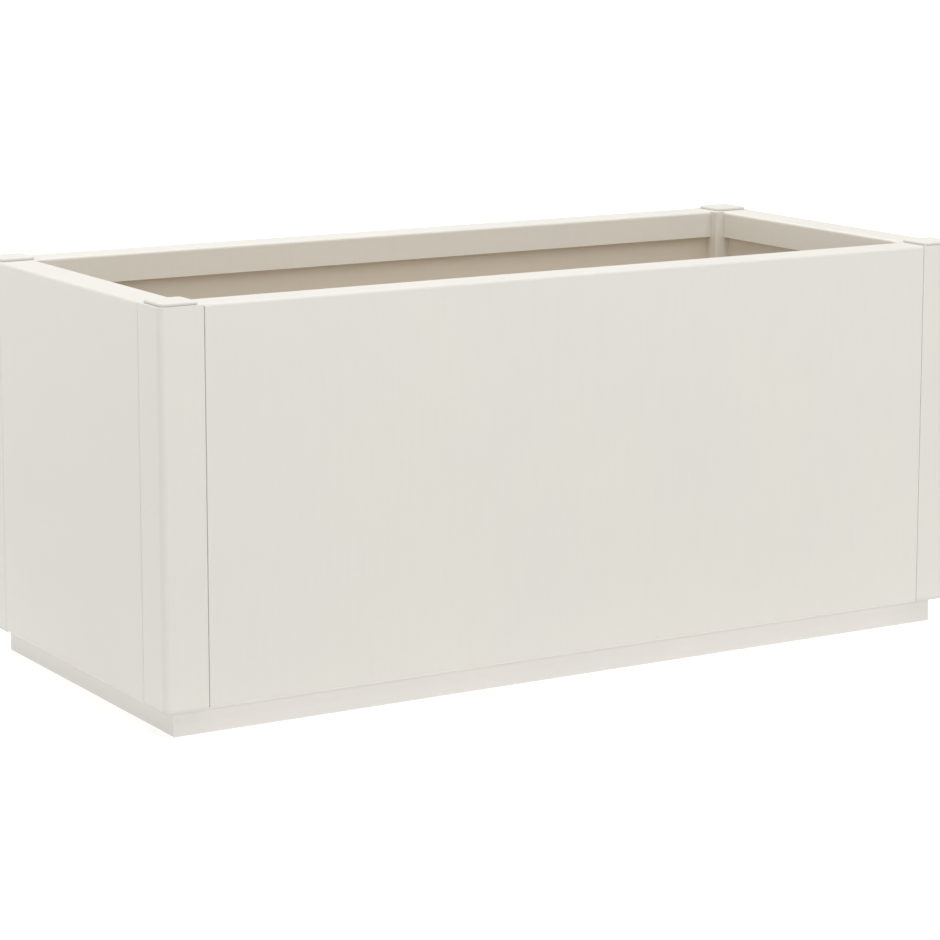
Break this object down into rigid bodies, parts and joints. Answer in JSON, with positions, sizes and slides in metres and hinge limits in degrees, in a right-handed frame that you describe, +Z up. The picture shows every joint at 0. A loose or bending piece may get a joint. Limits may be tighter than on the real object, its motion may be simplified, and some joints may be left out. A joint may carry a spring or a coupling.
{
  "type": "versailles planter",
  "caption": "Rectangular Versailles planter: folded sheet panels between square capped corner posts, turned-in rim over inner walls, drained floor, recessed plinth.",
  "frame": {"origin": "centre of the footprint, on the ground under the plinth", "axes": "+X along the length, +Y to the back, +Z up; the front is the long side at -Y"},
  "size_m": [1, 0.452, 0.4435],
  "materials": {
    "outer_finish": "satin off-white powder coat with a faint upright texture",
    "inner_finish": "satin off-white powder coat, slightly warmer and duller",
    "mill_aluminium": "plain mill finish, hidden",
    "stainless_steel": "plain stainless fixings, hidden or seen only from below"
  },
  "bodies": {
    "root": {"corner_post_front_left": "outer_finish", "corner_post_front_right": "outer_finish", "corner_post_back_left": "outer_finish", "corner_post_back_right": "outer_finish", "post_cap_front_left": "outer_finish", "post_cap_front_right": "outer_finish", "post_cap_back_left": "outer_finish", "post_cap_back_right": "outer_finish", "outer_panel_front": "outer_finish", "outer_panel_back": "outer_finish", "outer_panel_left": "outer_finish", "outer_panel_right": "outer_finish", "inner_wall_front": "inner_finish", "inner_wall_back": "inner_finish", "inner_wall_left": "inner_finish", "inner_wall_right": "inner_finish", "bottom_rail_front": "inner_finish", "bottom_rail_back": "inner_finish", "bottom_rail_left": "inner_finish", "bottom_rail_right": "inner_finish", "floor_bearer_left": "inner_finish", "floor_bearer_centre": "inner_finish", "floor_bearer_right": "inner_finish", "floor_sheet_drained": "inner_finish", "plinth_rail_front": "outer_finish", "plinth_rail_back": "outer_finish", "plinth_rail_left": "outer_finish", "plinth_rail_right": "outer_finish", "post_foot_plates": "mill_aluminium", "post_foot_bolts": "stainless_steel", "plinth_screws": "stainless_steel", "panel_brackets": "mill_aluminium", "bracket_rivets": "mill_aluminium", "panel_studs": "mill_aluminium", "stud_nuts": "stainless_steel"}
  },
  "joints": []
}
